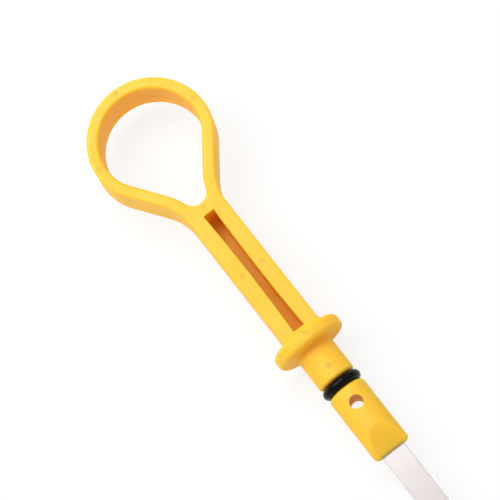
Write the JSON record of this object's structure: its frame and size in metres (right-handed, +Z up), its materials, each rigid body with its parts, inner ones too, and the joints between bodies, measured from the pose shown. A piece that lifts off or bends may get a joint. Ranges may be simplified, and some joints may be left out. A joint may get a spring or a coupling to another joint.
{
  "type": "engine oil dipstick",
  "caption": "Engine oil dipstick with a moulded finger loop handle, a seat flange, an O-ring plug and a flat steel gauge blade with level marks.",
  "frame": {"origin": "under the middle of the stick's bounding box, on the surface that it lies on", "axes": "+X along the stick from the finger loop to the blade's tip, +Y across the handle's face, +Z up, out of the handle's slotted front"},
  "size_m": [0.4002, 0.0294, 0.017],
  "materials": {
    "handle": "moulded yellow plastic with a soft gloss",
    "o_ring": "smooth black nitrile rubber, slightly oily",
    "blade": "bright rolled spring steel strip"
  },
  "bodies": {
    "root": {"handle": "handle", "o_ring": "o_ring", "blade": "blade"}
  },
  "joints": []
}
